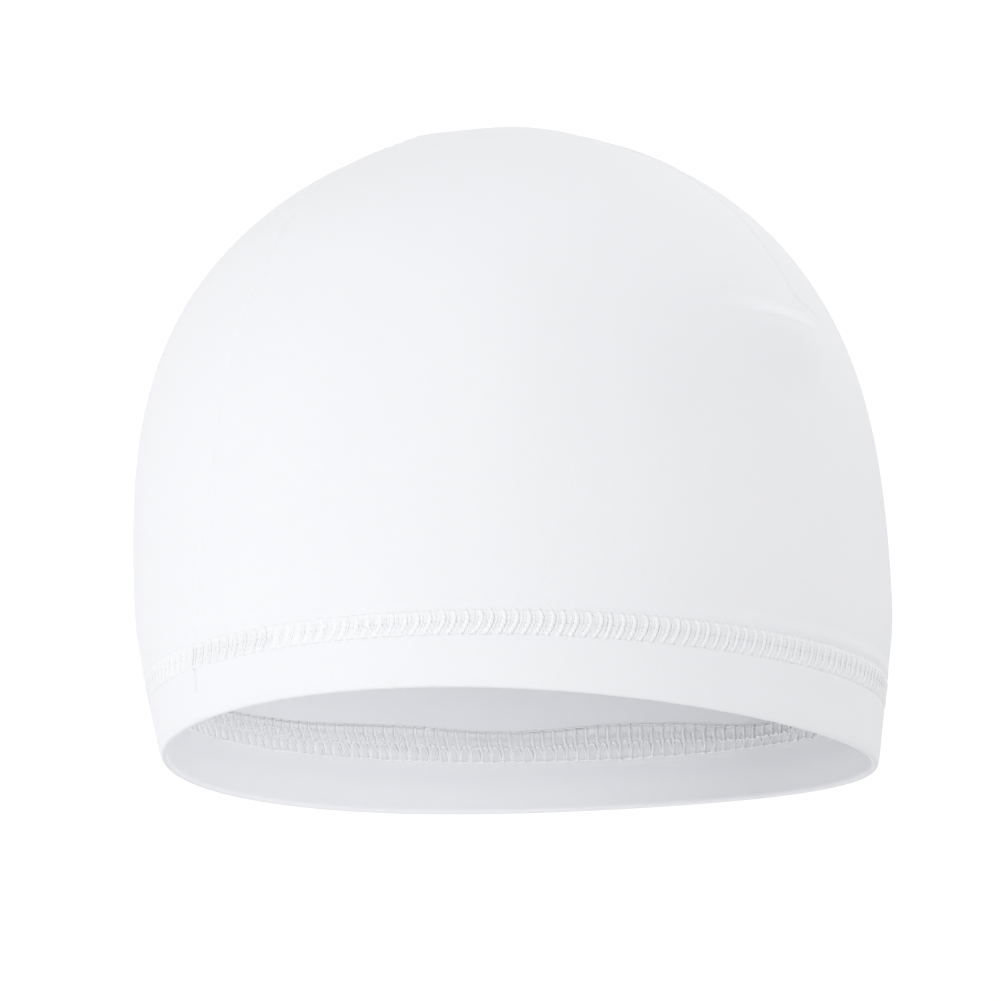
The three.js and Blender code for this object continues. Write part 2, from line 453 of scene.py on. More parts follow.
def swept_shell(rings, first_end, last_end, ring_uv):
    """A closed body: rings of points joined by quads, with a fan of triangles to a pole at each end.

    rings is an array of (rings, columns, 3), and ring_uv of (rings - 1, columns, 4, 2) holds each quad's
    corners.
    """
    count, around = rings.shape[:2]
    points = np.concatenate([rings.reshape(-1, 3), [first_end], [last_end]])
    ring, column = np.meshgrid(np.arange(count - 1), np.arange(around), indexing="ij")
    following = (column + 1) % around
    corners = [ring * around + column, (ring + 1) * around + column]
    corners += [(ring + 1) * around + following, ring * around + following]
    quads = np.stack(corners, axis=-1).reshape(-1, 4)
    one, two = np.arange(around), (np.arange(around) + 1) % around
    first, last = np.full(around, count * around), np.full(around, count * around + 1)
    top = np.stack([first, one, two], axis=-1)
    end = np.stack([last, (count - 1) * around + two, (count - 1) * around + one], axis=-1)
    top_uv = ring_uv[0][:, [0, 0, 3]]
    end_uv = ring_uv[-1][:, [1, 2, 1]]
    return {
        "points": points,
        "quads": quads,
        "triangles": np.concatenate([top, end]),
        "quad_uv": ring_uv.reshape(-1, 4, 2),
        "triangle_uv": np.concatenate([top_uv, end_uv]),
    }


def add_piece(name, parts, material):
    """Joins parts into one mesh in metres, smooth, with its UV map in mm, and lets it ride on the cap."""
    starts = np.cumsum([0] + [len(part["points"]) for part in parts])
    quads = np.concatenate([part["quads"] + start for part, start in zip(parts, starts)])
    triangles = np.concatenate([part["triangles"] + start for part, start in zip(parts, starts)])
    mesh = bpy.data.meshes.new(name)
    points = np.concatenate([part["points"] for part in parts]) * MM
    mesh.from_pydata(points.tolist(), [], quads.tolist() + triangles.tolist())
    uv = mesh.uv_layers.new(name="flat_mm")
    quad_uv = np.concatenate([part["quad_uv"].reshape(-1, 2) for part in parts])
    triangle_uv = np.concatenate([part["triangle_uv"].reshape(-1, 2) for part in parts])
    uv.data.foreach_set("uv", np.concatenate([quad_uv, triangle_uv]).astype(np.float32).ravel())
    mesh.shade_smooth()
    mesh.materials.append(material)
    piece = bpy.data.objects.new(name, mesh)
    bpy.context.scene.collection.objects.link(piece)
    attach(piece, "root")
    return piece


COLUMN_STEP = 1.5
BESIDE_SEAM = (0.25, 0.5, 0.8, 1.15, 2.1, 2.6)
LEAST_STEP = 0.15


def cloth_columns():
    """Even columns, with closer ones beside each seam, less those that come too close together."""
    beside = np.array(BESIDE_SEAM)
    columns = [np.arange(-180.0, 180.0, COLUMN_STEP)]
    for seam in SEAMS.values():
        columns += [seam["azimuth"] + beside, seam["azimuth"] - beside, [seam["azimuth"]]]
    every = np.unique(np.round(np.concatenate(columns), 3))
    return every[np.append(np.diff(every) > LEAST_STEP, True)]


# Stretches down the outside: first share, last share and stations, closer at the tuck and the hem
TOP_SHARE = 0.006
OUTSIDE = ((TOP_SHARE, 0.45, 74), (0.45, 0.56, 34), (0.56, 0.87, 34), (0.87, 1.0, 42))
SLIT_FOOT = 0.995
STATIONS = {"fold": 11, "hem": 18, "hem_ease": 12, "slit": 5, "inside": 62}
UNDER_EDGE = 0.01


def cloth_stations():
    """Shares and insets down the outside, round the fold, up over the hem, down its slit and up the
    inside, with a mark of 1 where the cloth is turned up."""
    outside = [np.linspace(first, last, count, endpoint=last == 1.0) for first, last, count in OUTSIDE]
    outside = np.concatenate(outside)
    fold_radius = HEM_INSET / 2.0
    turn = np.linspace(0.0, math.pi, STATIONS["fold"])[1:]
    fold_shares = share_above(-fold_radius * np.sin(turn))
    ease_start = share_above(HEM_HEIGHT - EDGE_EASE["run"])
    hem = np.concatenate([
        np.linspace(1.0, ease_start, STATIONS["hem"])[1:],
        np.linspace(ease_start, share_above(HEM_HEIGHT - UNDER_EDGE), STATIONS["hem_ease"])[1:],
    ])
    slit = np.linspace(share_above(HEM_HEIGHT), SLIT_FOOT, STATIONS["slit"])
    inside = np.linspace(SLIT_FOOT, TOP_SHARE, STATIONS["inside"])
    shares = np.concatenate([outside, fold_shares, hem, slit, inside])
    insets = np.concatenate([
        np.zeros(len(outside)),
        fold_radius * (1.0 - np.cos(turn)),
        hem_face(HEM_HEIGHT - height_of(hem)),
        CLOTH + np.linspace(EDGE_GAP, HEM_SLIT, len(slit)),
        np.full(len(inside), CLOTH),
    ])
    turned_up = np.zeros(len(shares))
    first = len(outside) + len(fold_shares)
    turned_up[first:first + len(hem) + len(slit)] = 1.0
    return shares, insets, turned_up


def cloth_uv(columns, shares):
    """Where each quad's corners lie on the flat cloth: across from the middle of its petal, and down."""
    ends = np.append(columns[1:], columns[0] + 360.0)
    middle = turns_between((columns + ends) / 2.0, 0.0)
    petal = np.where(np.abs(middle) > PETAL, 180.0, np.sign(middle) * PETAL / 2.0)
    corners = []
    for corner_columns, corner_shares in (
        (columns, shares[:-1]), (columns, shares[1:]), (ends, shares[1:]), (ends, shares[:-1])
    ):
        away = np.radians(turns_between(corner_columns, petal))[None, :]
        radius = ring_radius(corner_columns[None, :], corner_shares[:, None])
        down = np.broadcast_to(corner_shares[:, None] * CLOTH_RUN, radius.shape)
        corners.append(np.stack([away * radius, down], axis=-1))
    return np.stack(corners, axis=2)


def maths(tree, operation, *values):
    """One Math node, whose inputs are numbers or sockets, and its output socket."""
    node = tree.nodes.new("ShaderNodeMath")
    node.operation = operation
    for socket, value in zip(node.inputs, values):
        if isinstance(value, bpy.types.NodeSocket):
            tree.links.new(value, socket)
        else:
            socket.default_value = value
    return node.outputs[0]


def new_group(name, inputs, outputs):
    """An empty node group with named sockets, its input node and its output node."""
    group = bpy.data.node_groups.new(name, "ShaderNodeTree")
    for label, kind, value in inputs:
        socket = group.interface.new_socket(label, in_out="INPUT", socket_type=kind)
        if value is not None:
            socket.default_value = value
    for label, kind in outputs:
        group.interface.new_socket(label, in_out="OUTPUT", socket_type=kind)
    return group, group.nodes.new("NodeGroupInput"), group.nodes.new("NodeGroupOutput")


def white_yarn_group():
    """Bleached yarn: its colour drifts between a lighter and a darker white over a few centimetres, and a
    fine grain of fibres gives it height."""
    group, given, result = new_group(
        "white yarn",
        [
            ("Light", "NodeSocketColor", (0.9, 0.9, 0.9, 1.0)),
            ("Shade", "NodeSocketColor", (0.85, 0.85, 0.85, 1.0)),
            ("Drift Scale", "NodeSocketFloat", 40.0),
            ("Fibre Scale", "NodeSocketFloat", 2500.0),
        ],
        [("Color", "NodeSocketColor"), ("Fibres", "NodeSocketFloat")],
    )
    place = group.nodes.new("ShaderNodeTexCoord")
    drift = group.nodes.new("ShaderNodeTexNoise")
    drift.inputs["Detail"].default_value = 3.0
    fibres = group.nodes.new("ShaderNodeTexNoise")
    fibres.inputs["Detail"].default_value = 2.0
    mix = group.nodes.new("ShaderNodeMix")
    mix.data_type = "RGBA"
    group.links.new(place.outputs["Object"], drift.inputs["Vector"])
    group.links.new(place.outputs["Object"], fibres.inputs["Vector"])
    group.links.new(given.outputs["Drift Scale"], drift.inputs["Scale"])
    group.links.new(given.outputs["Fibre Scale"], fibres.inputs["Scale"])
    group.links.new(drift.outputs["Fac"], mix.inputs["Factor"])
    group.links.new(given.outputs["Light"], mix.inputs["A"])
    group.links.new(given.outputs["Shade"], mix.inputs["B"])
    group.links.new(mix.outputs["Result"], result.inputs["Color"])
    group.links.new(fibres.outputs["Fac"], result.inputs["Fibres"])
    return group


LEG_CLIMB = 1.6
LOOP_DEPTH = 0.25


def jersey_knit_group():
    """Plain knit: columns of V-shaped loops. Each leg of a V is a ridge a quarter of a wale from its
    middle, and the loops' crests climb along the legs as a sine of the courses."""
    group, given, result = new_group(
        "jersey knit",
        [
            ("Cloth", "NodeSocketVector", None),
            ("Wale", "NodeSocketFloat", 0.7),
            ("Course", "NodeSocketFloat", 0.55),
        ],
        [("Height", "NodeSocketFloat")],
    )
    split = group.nodes.new("ShaderNodeSeparateXYZ")
    group.links.new(given.outputs["Cloth"], split.inputs[0])
    wale = maths(group, "FRACT", maths(group, "DIVIDE", split.outputs["X"], given.outputs["Wale"]))
    leg = maths(group, "ABSOLUTE", maths(group, "SUBTRACT", wale, 0.5))
    course = maths(group, "DIVIDE", split.outputs["Y"], given.outputs["Course"])
    climb = maths(group, "ADD", course, maths(group, "MULTIPLY", leg, LEG_CLIMB))
    loop = maths(group, "SINE", maths(group, "MULTIPLY", climb, 2.0 * math.pi))
    from_leg = maths(group, "SUBTRACT", maths(group, "MULTIPLY", leg, 4.0), 1.0)
    ridge = maths(group, "SUBTRACT", 1.0, maths(group, "MULTIPLY", from_leg, from_leg))
    crest = maths(group, "MULTIPLY_ADD", loop, LOOP_DEPTH, 1.0 - LOOP_DEPTH)
    group.links.new(maths(group, "MULTIPLY", ridge, crest), result.inputs["Height"])
    return group


WHITE_YARN = white_yarn_group()
JERSEY_KNIT = jersey_knit_group()


def group_node(tree, group, **values):
    """A group in a material, with its plain inputs set by name."""
    node = tree.nodes.new("ShaderNodeGroup")
    node.node_tree = group
    for label, value in values.items():
        node.inputs[label.replace("_", " ")].default_value = value
    return node


def bump_node(tree, height, distance, strength, before=None):
    """A Bump node of a height's socket, in metres, on top of an earlier normal."""
    node = tree.nodes.new("ShaderNodeBump")
    node.inputs["Distance"].default_value = distance
    node.inputs["Strength"].default_value = strength
    tree.links.new(height, node.inputs["Height"])
    if before is not None:
        tree.links.new(before, node.inputs["Normal"])
    return node.outputs["Normal"]


def flat_place(tree):
    """A point's place on its piece's own UV map, in mm."""
    node = tree.nodes.new("ShaderNodeUVMap")
    node.uv_map = "flat_mm"
    return node.outputs["UV"]


def new_material(name, roughness, sheen):
    """A Principled material with a soft white sheen, and its tree and shader."""
    material = bpy.data.materials.new(name)
    material.use_nodes = True
    shader = material.node_tree.nodes["Principled BSDF"]
    shader.inputs["Roughness"].default_value = roughness
    shader.inputs["Specular IOR Level"].default_value = 0.2
    shader.inputs["Sheen Weight"].default_value = sheen
    shader.inputs["Sheen Roughness"].default_value = 0.5
    return material, material.node_tree, shader


# Wales and courses are in millimetres, and the heights of the bump in metres
JERSEY = {
    "roughness": 0.92,
    "sheen": 0.12,
    "light": (0.888, 0.892, 0.914, 1.0),
    "shade": (0.866, 0.87, 0.896, 1.0),
    "drift_scale": 22.0,
    "wale": 0.62,
    "course": 0.5,
    "fibres": {"distance": 0.00006, "strength": 0.35},
    "loops": {"distance": 0.00006, "strength": 0.3},
}


def jersey_material():
    """White jersey, whose knit follows the flat cloth of each petal."""
    material, tree, shader = new_material("white jersey", JERSEY["roughness"], JERSEY["sheen"])
    yarn = group_node(
        tree, WHITE_YARN, Light=JERSEY["light"], Shade=JERSEY["shade"], Drift_Scale=JERSEY["drift_scale"]
    )
    knit = group_node(tree, JERSEY_KNIT, Wale=JERSEY["wale"], Course=JERSEY["course"])
    tree.links.new(flat_place(tree), knit.inputs["Cloth"])
    tree.links.new(yarn.outputs["Color"], shader.inputs["Base Color"])
    grain = bump_node(tree, yarn.outputs["Fibres"], **JERSEY["fibres"])
    loops = bump_node(tree, knit.outputs["Height"], **JERSEY["loops"], before=grain)
    tree.links.new(loops, shader.inputs["Normal"])
    return material


WHITE_JERSEY = jersey_material()

# The raw edge wanders, so all that is turned up is stretched up with it
columns = cloth_columns()
shares, insets, turned_up = cloth_stations()
stretch_up = 1.0 + turned_up[:, None] * edge_wander(columns)[None, :] / HEM_HEIGHT
cloth_part = swept_shell(
    skin(columns[None, :], 1.0 - (1.0 - shares[:, None]) * stretch_up, insets[:, None]),
    [0.0, 0.0, CLOTH],
    [0.0, 0.0, 0.0],
    cloth_uv(columns, shares),
)
cap_cloth = add_piece("cap_cloth", [cloth_part], WHITE_JERSEY)
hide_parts("cap_body")

# The stitching on the outside of the hem.
# Three needle rows hold the turned-up cloth. A soft cover thread runs from the top row out to the middle
# one and back to the bottom one at every stitch, under short straight stitches of the needle threads.

# Each stitch has a wide run of the cover thread, and a thin one that fills the gap to the next
STITCH = 2.85
COVER = {"width": 1.35, "thickness": 0.44, "bulge": 1.5, "lift": 0.1}
FILLER = {"width": 0.62, "thickness": 0.34, "bulge": 1.3, "lift": 0.0}

# Just past the centre back the line of stitching runs on for a stretch over its own start
OVERLAP = {"start": 3.0, "length": 26.0, "shift": 1.3, "raised": 0.08}

# The middle needle row, measured at every eighth of a degree
fine_columns = np.linspace(-180.0, 180.0, 2881)
row_points = outline(fine_columns, np.full_like(fine_columns, share_above(NEEDLE_ROWS["middle"])))
row_run = np.append(0.0, np.cumsum(np.linalg.norm(np.diff(row_points, axis=0), axis=1)))
stitch_count = round(row_run[-1] / STITCH)
stitch_length = row_run[-1] / stitch_count


def column_along(run):
    """The column at a run in mm along the middle needle row, from the forehead over the left ear."""
    return np.interp(run % row_run[-1], row_run, fine_columns)


def on_hem(run, height, lift, face="outside"):
    """Points on the hem's outer or inner face, lifted off it, and the direction out of that face."""
    run, height, lift = np.broadcast_arrays(run, height, lift)
    column, share = column_along(run), share_above(height)
    out = outward(column, share)
    if face == "inside":
        inset = hem_face(HEM_HEIGHT + edge_wander(column) - height)
        off = relief(column, share) - inset - lift
        return outline(column, share) + out * off[..., None], -out
    return outline(column, share) + out * (relief(column, share) + lift)[..., None], out


def strands(points, out, width, thickness, sides=6):
    """Closed tubes along many paths at once, with flattened round sections.

    points and out are arrays of (paths, steps, 3). A section's point at a turn is the path's point plus
    half the width times its cosine sideways and half the thickness times its sine outwards. Ends close on
    their middles.
    """
    paths, steps = points.shape[:2]
    along = np.gradient(points, axis=1)
    along /= np.linalg.norm(along, axis=-1, keepdims=True)
    side = np.cross(out, along)
    side /= np.linalg.norm(side, axis=-1, keepdims=True)
    up = np.cross(along, side)
    turn = 2.0 * math.pi * np.arange(sides) / sides
    width = np.broadcast_to(width, (paths, steps))[..., None, None] / 2.0
    thickness = np.broadcast_to(thickness, (paths, steps))[..., None, None] / 2.0
    ring = points[:, :, None] + side[:, :, None] * np.cos(turn)[:, None] * width
    ring = ring + up[:, :, None] * np.sin(turn)[:, None] * thickness
    run = np.linalg.norm(np.diff(points, axis=1), axis=-1)
    run = np.concatenate([np.zeros((paths, 1)), np.cumsum(run, axis=1)], axis=1)
    per_path = steps * sides
    path, step, face = np.meshgrid(np.arange(paths), np.arange(steps - 1), np.arange(sides), indexing="ij")
    start = path * per_path + step * sides
    nearer, farther = start + face, start + (face + 1) % sides
    quads = np.stack([nearer, farther, farther + sides, nearer + sides], axis=-1).reshape(-1, 4)
    here, there = run[path, step], run[path, step + 1]
    quad_u = np.stack([here, here, there, there], axis=-1)
    quad_v = np.stack([face, face + 1, face + 1, face], axis=-1) / sides
    path, face = np.meshgrid(np.arange(paths), np.arange(sides), indexing="ij")
    one, two = path * per_path + face, path * per_path + (face + 1) % sides
    last = (steps - 1) * sides
    first_end, last_end = paths * per_path + path, paths * per_path + paths + path
    triangles = np.concatenate([
        np.stack([first_end, two, one], axis=-1).reshape(-1, 3),
        np.stack([last_end, one + last, two + last], axis=-1).reshape(-1, 3),
    ])
    return {
        "points": np.concatenate([ring.reshape(-1, 3), points[:, 0], points[:, -1]]),
        "quads": quads,
        "triangles": triangles,
        "quad_uv": np.stack([quad_u, quad_v], axis=-1).reshape(-1, 4, 2),
        "triangle_uv": np.zeros((len(triangles), 3, 2)),
    }


THREAD = {
    "roughness": 0.85,
    "sheen": 0.15,
    "drift_scale": 400.0,
    "fibre_scale": 4000.0,
    "fibres": {"distance": 0.00005, "strength": 0.4},
    "plies": {"distance": 0.00007, "strength": 0.6},
}


def thread_material(name, light, shade, ply):
    """Soft white thread: two plies wind round it, a turn to each ply length, as a sine of run and turn."""
    material, tree, shader = new_material(name, THREAD["roughness"], THREAD["sheen"])
    scales = {"Drift_Scale": THREAD["drift_scale"], "Fibre_Scale": THREAD["fibre_scale"]}
    yarn = group_node(tree, WHITE_YARN, Light=light, Shade=shade, **scales)
    split = tree.nodes.new("ShaderNodeSeparateXYZ")
    tree.links.new(flat_place(tree), split.inputs[0])
    turns = maths(tree, "ADD", maths(tree, "DIVIDE", split.outputs["X"], ply), split.outputs["Y"])
    twist = maths(tree, "SINE", maths(tree, "MULTIPLY", turns, 4.0 * math.pi))
    tree.links.new(yarn.outputs["Color"], shader.inputs["Base Color"])
    grain = bump_node(tree, yarn.outputs["Fibres"], **THREAD["fibres"])
    tree.links.new(bump_node(tree, twist, **THREAD["plies"], before=grain), shader.inputs["Normal"])
    return material


COVER_THREAD = thread_material(
    "cover thread", light=(0.93, 0.935, 0.95, 1.0), shade=(0.9, 0.905, 0.925, 1.0), ply=2.2
)
# The needle thread is coloured greyer than the cover thread and the cloth, as painted shade: its short
# stitches lie in the shade of the cover threads, and the thread itself is as white as they are.
NEEDLE_THREAD_PAINTED_SHADE = thread_material(
    "needle thread in painted shade", light=(0.84, 0.845, 0.865, 1.0), shade=(0.8, 0.805, 0.83, 1.0), ply=1.1
)

random = np.random.default_rng(11)


def uneven(starts, spread):
    """How far each stitch is off its even place: one normal random number of a given spread for each."""
    return random.normal(0.0, spread, (len(starts), 1))


def at_least(least, value):
    """A value from 0 to 1, brought into the range from the least to 1."""
    return least + (1.0 - least) * value


SLACK_THICKNESS = 0.4


def pressed(thickness, drawn):
    """A thread's thickness, of which a share is left where the stitching is slack."""
    return thickness * at_least(SLACK_THICKNESS, drawn)


# How far cover threads reach past the outer rows, how deep their ends sink in, how narrow these are as a
# share, and how much their lift falls off where the stitching is slack
COVER_ENDS = {"past": 0.3, "sunk": 0.15, "narrow": 0.6, "slack_fall": 2.2}
COVER_SWING = {"early": 0.7, "roundness": 0.8}
COVER_UNEVEN = {"run": 0.08, "swing": 0.1, "top": 0.08, "foot": 0.12}


def cover_stitches(starts, thread, raised=0.0):
    """One cover thread a stitch: its height falls from the top needle row to the bottom one, while it
    swings out along the rows and back as a half sine, whose crest comes early."""
    way = np.linspace(0.0, 1.0, 13)[None, :]
    swing = thread["bulge"] * np.sin(math.pi * way ** COVER_SWING["early"]) ** COVER_SWING["roundness"]
    loose = uneven(starts, COVER_UNEVEN["run"])
    swing = swing * (1.0 + uneven(starts, COVER_UNEVEN["swing"]))
    run = starts[:, None] + loose + swing
    top = NEEDLE_ROWS["high"] + COVER_ENDS["past"] + uneven(starts, COVER_UNEVEN["top"])
    foot = NEEDLE_ROWS["low"] - COVER_ENDS["past"] + uneven(starts, COVER_UNEVEN["foot"])
    body = np.sin(math.pi * way) ** 0.5
    drawn = pull(column_along(run), "outside")
    lift = thread["lift"] * (1.0 - COVER_ENDS["slack_fall"] * (1.0 - drawn)) + raised
    points, out = on_hem(run, top + (foot - top) * way, lift * body - COVER_ENDS["sunk"] * (1.0 - body))
    width = thread["width"] * at_least(COVER_ENDS["narrow"], body)
    return strands(points, out, width, pressed(thread["thickness"], drawn))


# The ends of a needle stitch sink into its holes, and all of it sinks in where the stitching is slack
NEEDLE = {"width": 0.5, "length": 2.4, "lift": 0.12, "sunk": 0.2, "slack_sunk": 0.1, "uneven": 0.05}

# How far the stitches of each row start past the cover threads
NEEDLE_PAST = {"low": -0.6, "middle": 1.0, "high": -0.6}


def needle_stitches(starts, height, lift, length, face="outside"):
    """One short straight stitch each, which comes out of its hole, lies along the row and goes back in."""
    way = np.linspace(0.0, 1.0, 6)[None, :]
    run = starts[:, None] + length * way
    rise = lift * np.sin(math.pi * way) ** 0.6 - NEEDLE["sunk"]
    level = height + uneven(starts, NEEDLE["uneven"])
    drawn = pull(column_along(run), face)
    points, out = on_hem(run, level, rise * drawn - NEEDLE["slack_sunk"] * (1.0 - drawn), face)
    return strands(points, out, NEEDLE["width"], pressed(NEEDLE["width"], drawn), sides=5)


stitch_starts = (np.arange(stitch_count) + 0.5) * stitch_length
between_stitches = stitch_starts + stitch_length / 2.0
overlap_start = row_run[-1] / 2.0 + OVERLAP["start"] + OVERLAP["shift"]
overlap_starts = overlap_start + np.arange(round(OVERLAP["length"] / stitch_length)) * stitch_length
hem_cover_threads = add_piece(
    "hem_cover_threads",
    [
        cover_stitches(stitch_starts, COVER),
        cover_stitches(between_stitches, FILLER),
        cover_stitches(overlap_starts, FILLER, OVERLAP["raised"]),
    ],
    COVER_THREAD,
)
hem_needle_threads = add_piece(
    "hem_needle_threads",
    [
        needle_stitches(stitch_starts + NEEDLE_PAST[row], height, NEEDLE["lift"], NEEDLE["length"])
        for row, height in NEEDLE_ROWS.items()
    ],
    NEEDLE_THREAD_PAINTED_SHADE,
)

# The stitching on the inside of the hem.
# The looper threads bind the raw edge of the turned-up cloth. At each stitch a rib runs from over the edge
# down to the bottom row, with arches of the needle loops between the ribs and a finer lattice behind.

# The middle row follows the wander of the raw edge in part
INNER_ROWS = {"low": 12.7, "middle": 16.3, "edge": HEM_HEIGHT}
MIDDLE_FOLLOWS = 0.6

RIB = {"width": 0.82, "thickness": 0.6, "lift": 0.22, "lean": 0.25, "uneven": 0.08}
RIB_ENDS = {
    "over_edge": 0.5,
    "thin": 0.25,
    "thin_run": 0.14,
    "past_low": 0.3,
    "dive": 0.6,
    "dive_down": (0.93, 0.07),
}
ARCH = {"width": 0.56, "lift": 0.08, "span": 0.82, "squareness": 0.4}
KNOT = {"width": 0.72, "length": 1.25, "lift": 0.32, "sag": 1.6, "sunk": 0.1, "narrow": 0.35}
KNOT_UNEVEN = {"run": 0.1, "level": 0.15}
LATTICE = {"width": 0.3, "lift": 0.0, "under_middle": 0.4, "under_edge": 0.3}
EDGE_STITCH = {"above": 0.15, "lift": 0.36, "overlap": 0.3}
FOOT_STITCH = {"past": 0.3, "below": 0.2, "lift": 0.22, "length": 1.7}

# How far the knots between the ribs stand above those on them
KNOT_STEP = 0.2


def edge_above(starts):
    """How far the raw edge stands over its mean height at each stitch."""
    return edge_wander(column_along(starts))[:, None]


def middle_row(starts):
    """The height of the middle row at each stitch."""
    return INNER_ROWS["middle"] + MIDDLE_FOLLOWS * edge_above(starts)


def looper_ribs(starts):
    """A rib starts thin just over the raw edge, widens, comes down the hem's face with a lean to one side
    and then the other, as a sine, and dives in at the bottom row."""
    way = np.linspace(0.0, 1.0, 13)[None, :]
    top = INNER_ROWS["edge"] + RIB_ENDS["over_edge"] + edge_above(starts)
    height = top + (INNER_ROWS["low"] - RIB_ENDS["past_low"] - top) * way
    lean = RIB["lean"] * np.sin(2.0 * math.pi * way) + uneven(starts, RIB["uneven"])
    drawn = pull(column_along(starts), "inside")[:, None]
    body = at_least(RIB_ENDS["thin"], smooth(way / RIB_ENDS["thin_run"]))
    rise = RIB["lift"] * drawn * body - RIB_ENDS["dive"] * rising(way, *RIB_ENDS["dive_down"])
    points, out = on_hem(starts[:, None] + lean, height, rise, "inside")
    return strands(points, out, RIB["width"] * body, pressed(RIB["thickness"] * body, drawn))


def looper_arches(starts):
    """An arch stands between two ribs, nearly a stitch wide at its foot. It rises to the middle row as a
    half sine, squared up by its power."""
    way = np.linspace(0.0, 1.0, 13)[None, :]
    run = starts[:, None] + stitch_length * ARCH["span"] * (way - 0.5)
    rise = (middle_row(starts) - INNER_ROWS["low"]) * np.sin(math.pi * way) ** ARCH["squareness"]
    drawn = pull(column_along(run), "inside")
    points, out = on_hem(run, INNER_ROWS["low"] + rise, ARCH["lift"] * drawn, "inside")
    return strands(points, out, ARCH["width"], pressed(ARCH["width"], drawn), sides=5)


def looper_knots(starts, height):
    """A short thick bight of thread across each rib, where the needle thread catches it. Its ends hang
    down as the square of the way from its middle."""
    way = np.linspace(-0.5, 0.5, 7)[None, :]
    run = starts[:, None] + KNOT["length"] * way + uneven(starts, KNOT_UNEVEN["run"])
    level = height + uneven(starts, KNOT_UNEVEN["level"]) - KNOT["sag"] * way ** 2
    bulk = np.cos(math.pi * way) ** 0.5
    drawn = pull(column_along(run), "inside")
    points, out = on_hem(run, level, KNOT["lift"] * bulk * drawn - KNOT["sunk"], "inside")
    width = KNOT["width"] * at_least(KNOT["narrow"], bulk)
    return strands(points, out, width, pressed(width, drawn))


def looper_lattice(starts, slope):
    """Fine threads that cross from one rib to the next, between the middle row and the raw edge."""
    way = np.linspace(0.0, 1.0, 5)[None, :]
    run = starts[:, None] + stitch_length * slope * (way - 0.5)
    foot = middle_row(starts) - LATTICE["under_middle"]
    top = INNER_ROWS["edge"] - LATTICE["under_edge"] + edge_above(starts)
    points, out = on_hem(run, foot + (top - foot) * way, LATTICE["lift"], "inside")
    return strands(points, out, LATTICE["width"], LATTICE["width"], sides=5)


def edge_stitches(starts):
    """A stitch along the raw edge, from rib to rib, in the corner that the edge makes with the wall."""
    starts = starts - EDGE_STITCH["overlap"] / 2.0
    height = INNER_ROWS["edge"] + EDGE_STITCH["above"] + edge_above(starts)
    length = stitch_length + EDGE_STITCH["overlap"]
    return needle_stitches(starts, height, EDGE_STITCH["lift"], length, "inside")


def foot_stitches(starts):
    """A short stitch across the foot of each rib."""
    starts = starts + FOOT_STITCH["past"]
    height = INNER_ROWS["low"] - FOOT_STITCH["below"]
    return needle_stitches(starts, height, FOOT_STITCH["lift"], FOOT_STITCH["length"], "inside")


# The looper thread is coloured whiter than the other threads, as painted light: it lifts the tone of the
# band inside the hem, which lies in shade.
LOOPER_THREAD_PAINTED_LIGHT = thread_material(
    "looper thread in painted light", light=(0.985, 0.985, 0.99, 1.0), shade=(0.96, 0.965, 0.975, 1.0), ply=1.8
)

hem_looper_threads = add_piece(
    "hem_looper_threads",
    [
        looper_ribs(stitch_starts),
        looper_arches(between_stitches),
        looper_knots(stitch_starts, middle_row(stitch_starts)),
        looper_knots(between_stitches, middle_row(between_stitches) + KNOT_STEP),
        looper_knots(stitch_starts, INNER_ROWS["low"]),
        looper_lattice(between_stitches, 1.0),
        looper_lattice(between_stitches, -1.0),
        edge_stitches(stitch_starts),
        foot_stitches(stitch_starts),
    ],
    LOOPER_THREAD_PAINTED_LIGHT,
)

# The bound edges inside the crown seams.
# The two trimmed edges of each seam are sewn together and overcast with thread, and lie flat to one side.
# A plain folded strip of the same jersey carries loops of thread that wrap its free edge.

ALLOWANCE = {"width": 5.5, "thickness": 1.3, "near": CLOTH + 0.35, "flat_side": 0.45, "flat_edge": 0.6}
STRIP_SIDES = 16
STRIP_SIDE_RUN = 0.8
STRIP_STATIONS = 220
OVERCAST = {"pitch": 2.6, "width": 0.6, "thickness": 0.45, "wave": 0.35}

# Where the loops start and the two edge threads lie, from the seam line, and heights over the strip
LOOP_START = 0.8
LOOP_OVER = 0.12
LOOP_TURN = {"flat_until": 0.75, "past": 0.4, "down": (0.7, 0.3), "behind": 0.1}
EDGE_THREADS = (1.0, ALLOWANCE["width"] - 0.3)
EDGE_THREAD_OVER = 0.3


def in_seam(seam, share, across, inset):
    """Points inside the cap, at a distance across from a seam and an inset from the outer face."""
    share, across, inset = np.broadcast_arrays(share, across, inset)
    turn = np.degrees(across / ring_radius(seam["azimuth"], share))
    return skin(seam["azimuth"] + turn, share, inset)


def allowance_strip(seam):
    """A strip swept down the seam. Its section is a superellipse of its width and thickness."""
    turn = np.linspace(0.0, 2.0 * math.pi, STRIP_SIDES, endpoint=False)
    side = np.sign(np.cos(turn)) * np.abs(np.cos(turn)) ** ALLOWANCE["flat_side"]
    edge = np.sign(np.sin(turn)) * np.abs(np.sin(turn)) ** ALLOWANCE["flat_edge"]
    across = ALLOWANCE["width"] / 2.0 * (1.0 + side)
    inset = ALLOWANCE["near"] + ALLOWANCE["thickness"] / 2.0 * (1.0 - edge)
    stations = round((seam["end"] - seam["start"]) * STRIP_STATIONS)
    share = np.linspace(seam["start"], seam["end"], stations)
    rings = in_seam(seam, share[:, None], across, inset)[:, ::-1]
    run = share * CLOTH_RUN
    round_strip = np.arange(STRIP_SIDES + 1) * STRIP_SIDE_RUN
    corner_run = np.stack([run[:-1], run[1:], run[1:], run[:-1]], axis=-1)
    here, there = round_strip[:-1], round_strip[1:]
    corner_turn = np.stack([here, here, there, there], axis=-1)
    uv = np.stack(np.broadcast_arrays(corner_turn[None, :, :], corner_run[:, None, :]), axis=-1)
    return swept_shell(rings, rings[0].mean(axis=0), rings[-1].mean(axis=0), uv)


